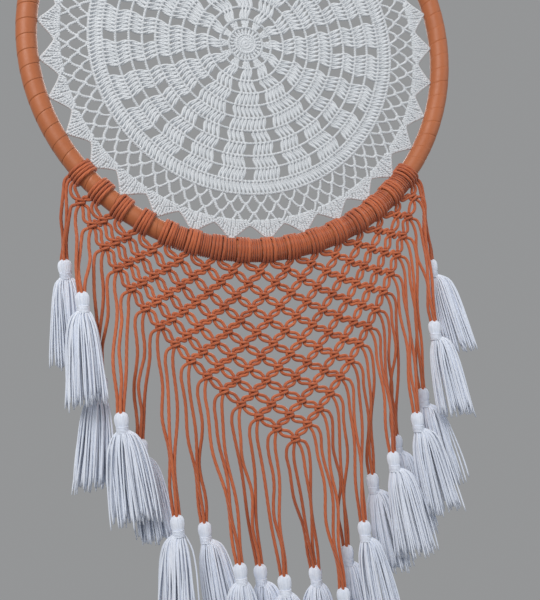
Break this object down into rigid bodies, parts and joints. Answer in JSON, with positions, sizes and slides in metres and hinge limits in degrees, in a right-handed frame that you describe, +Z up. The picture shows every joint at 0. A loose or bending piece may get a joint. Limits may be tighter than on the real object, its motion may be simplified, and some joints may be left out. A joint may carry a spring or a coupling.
{
  "type": "dream catcher",
  "caption": "Hanging hoop with a crocheted lace round stretched inside it, a knotted cord net below and a fringe of yarn tassels",
  "frame": {"origin": "where a hook bears, on the inside of the top of the hoop, midway through its thickness", "axes": "+Z up along the hang, +X to the right seen from the front, -Y is the front face"},
  "size_m": [0.3196, 0.0298, 0.6278],
  "materials": {
    "hoop_plastic": "plain bent plastic tube, hidden under the tape",
    "dowel_wood": "bare wood, hidden in the tube",
    "hoop_tape": "smooth light-brown orange ribbon tape, faint sheen",
    "doily_cotton": "mercerised cotton crochet thread, cool white",
    "macrame_cord": "smooth twisted cord, burnt orange, soft sheen",
    "tassel_yarn": "loose acrylic yarn, bluish white, matte"
  },
  "bodies": {
    "hoop": {"hoop_tube": "hoop_plastic", "hoop_joint_dowel": "dowel_wood", "hoop_tape": "hoop_tape", "doily": "doily_cotton", "doily_edging": "doily_cotton", "lark_heads_1": "macrame_cord", "lark_heads_2": "macrame_cord", "lark_heads_3": "macrame_cord", "lark_heads_4": "macrame_cord", "lark_heads_5": "macrame_cord", "lark_heads_6": "macrame_cord", "lark_heads_7": "macrame_cord", "lark_heads_8": "macrame_cord", "net_upper_left": "macrame_cord", "net_upper_right": "macrame_cord"},
    "lower_net": {"net_lower": "macrame_cord"},
    "tassel_left_1": {"fringe_left_1": "macrame_cord", "tassel_left_1": "tassel_yarn"},
    "tassel_left_2": {"fringe_left_2": "macrame_cord", "tassel_left_2": "tassel_yarn"},
    "tassel_left_3": {"fringe_left_3": "macrame_cord", "tassel_left_3": "tassel_yarn"},
    "tassel_left_4": {"fringe_left_4": "macrame_cord", "tassel_left_4": "tassel_yarn"},
    "tassel_left_5": {"fringe_left_5": "macrame_cord", "tassel_left_5": "tassel_yarn"},
    "tassel_left_6": {"fringe_left_6": "macrame_cord", "tassel_left_6": "tassel_yarn"},
    "tassel_left_7": {"fringe_left_7": "macrame_cord", "tassel_left_7": "tassel_yarn"},
    "tassel_left_8": {"fringe_left_8": "macrame_cord", "tassel_left_8": "tassel_yarn"},
    "tassel_left_9": {"fringe_left_9": "macrame_cord", "tassel_left_9": "tassel_yarn"},
    "tassel_left_10": {"fringe_left_10": "macrame_cord", "tassel_left_10": "tassel_yarn"},
    "tassel_centre": {"fringe_centre": "macrame_cord", "tassel_centre": "tassel_yarn"},
    "tassel_right_1": {"fringe_right_1": "macrame_cord", "tassel_right_1": "tassel_yarn"},
    "tassel_right_2": {"fringe_right_2": "macrame_cord", "tassel_right_2": "tassel_yarn"},
    "tassel_right_3": {"fringe_right_3": "macrame_cord", "tassel_right_3": "tassel_yarn"},
    "tassel_right_4": {"fringe_right_4": "macrame_cord", "tassel_right_4": "tassel_yarn"},
    "tassel_right_5": {"fringe_right_5": "macrame_cord", "tassel_right_5": "tassel_yarn"},
    "tassel_right_6": {"fringe_right_6": "macrame_cord", "tassel_right_6": "tassel_yarn"},
    "tassel_right_7": {"fringe_right_7": "macrame_cord", "tassel_right_7": "tassel_yarn"},
    "tassel_right_8": {"fringe_right_8": "macrame_cord", "tassel_right_8": "tassel_yarn"},
    "tassel_right_9": {"fringe_right_9": "macrame_cord", "tassel_right_9": "tassel_yarn"},
    "tassel_right_10": {"fringe_right_10": "macrame_cord", "tassel_right_10": "tassel_yarn"}
  },
  "joints": [
    {"name": "net_fold", "type": "hinge", "parent": "hoop", "child": "lower_net", "pos_m": [0, 0, -0.3269], "axis": [1, 0, 0], "range_deg": [-45, 45]},
    {"name": "swing_left_1", "type": "hinge", "parent": "hoop", "child": "tassel_left_1", "pos_m": [-0.13722, 0, -0.2609], "axis": [1, 0, 0], "range_deg": [0, 60]},
    {"name": "swing_left_2", "type": "hinge", "parent": "hoop", "child": "tassel_left_2", "pos_m": [-0.12885, 0, -0.27733], "axis": [1, 0, 0], "range_deg": [-60, 0]},
    {"name": "swing_left_3", "type": "hinge", "parent": "hoop", "child": "tassel_left_3", "pos_m": [-0.11768, 0, -0.30852], "axis": [1, 0, 0], "range_deg": [0, 60]},
    {"name": "swing_left_4", "type": "hinge", "parent": "hoop", "child": "tassel_left_4", "pos_m": [-0.10783, 0, -0.32327], "axis": [1, 0, 0], "range_deg": [-60, 0]},
    {"name": "swing_left_5", "type": "hinge", "parent": "lower_net", "child": "tassel_left_5", "pos_m": [-0.09435, 0, -0.35108], "axis": [1, 0, 0], "range_deg": [0, 60]},
    {"name": "swing_left_6", "type": "hinge", "parent": "lower_net", "child": "tassel_left_6", "pos_m": [-0.08263, 0, -0.36415], "axis": [1, 0, 0], "range_deg": [-60, 0]},
    {"name": "swing_left_7", "type": "hinge", "parent": "lower_net", "child": "tassel_left_7", "pos_m": [-0.06683, 0, -0.3886], "axis": [1, 0, 0], "range_deg": [0, 60]},
    {"name": "swing_left_8", "type": "hinge", "parent": "lower_net", "child": "tassel_left_8", "pos_m": [-0.05326, 0, -0.39998], "axis": [1, 0, 0], "range_deg": [-60, 0]},
    {"name": "swing_left_9", "type": "hinge", "parent": "lower_net", "child": "tassel_left_9", "pos_m": [-0.03513, 0, -0.42106], "axis": [1, 0, 0], "range_deg": [0, 60]},
    {"name": "swing_left_10", "type": "hinge", "parent": "lower_net", "child": "tassel_left_10", "pos_m": [-0.0197, 0, -0.43076], "axis": [1, 0, 0], "range_deg": [-60, 0]},
    {"name": "swing_centre", "type": "hinge", "parent": "lower_net", "child": "tassel_centre", "pos_m": [0.0015, 0, -0.4399], "axis": [1, 0, 0], "range_deg": [0, 60]},
    {"name": "swing_right_1", "type": "hinge", "parent": "hoop", "child": "tassel_right_1", "pos_m": [0.12378, 0, -0.2759], "axis": [1, 0, 0], "range_deg": [0, 60]},
    {"name": "swing_right_2", "type": "hinge", "parent": "hoop", "child": "tassel_right_2", "pos_m": [0.11681, 0, -0.29027], "axis": [1, 0, 0], "range_deg": [-60, 0]},
    {"name": "swing_right_3", "type": "hinge", "parent": "hoop", "child": "tassel_right_3", "pos_m": [0.10584, 0, -0.31778], "axis": [1, 0, 0], "range_deg": [0, 60]},
    {"name": "swing_right_4", "type": "hinge", "parent": "hoop", "child": "tassel_right_4", "pos_m": [0.09649, 0, -0.33092], "axis": [1, 0, 0], "range_deg": [-60, 0]},
    {"name": "swing_right_5", "type": "hinge", "parent": "lower_net", "child": "tassel_right_5", "pos_m": [0.08407, 0, -0.35598], "axis": [1, 0, 0], "range_deg": [0, 60]},
    {"name": "swing_right_6", "type": "hinge", "parent": "lower_net", "child": "tassel_right_6", "pos_m": [0.07355, 0, -0.3679], "axis": [1, 0, 0], "range_deg": [-60, 0]},
    {"name": "swing_right_7", "type": "hinge", "parent": "lower_net", "child": "tassel_right_7", "pos_m": [0.05968, 0, -0.39051], "axis": [1, 0, 0], "range_deg": [0, 60]},
    {"name": "swing_right_8", "type": "hinge", "parent": "lower_net", "child": "tassel_right_8", "pos_m": [0.048, 0, -0.40121], "axis": [1, 0, 0], "range_deg": [-60, 0]},
    {"name": "swing_right_9", "type": "hinge", "parent": "lower_net", "child": "tassel_right_9", "pos_m": [0.03267, 0, -0.42137], "axis": [1, 0, 0], "range_deg": [0, 60]},
    {"name": "swing_right_10", "type": "hinge", "parent": "lower_net", "child": "tassel_right_10", "pos_m": [0.01983, 0, -0.43084], "axis": [1, 0, 0], "range_deg": [-60, 0]}
  ]
}
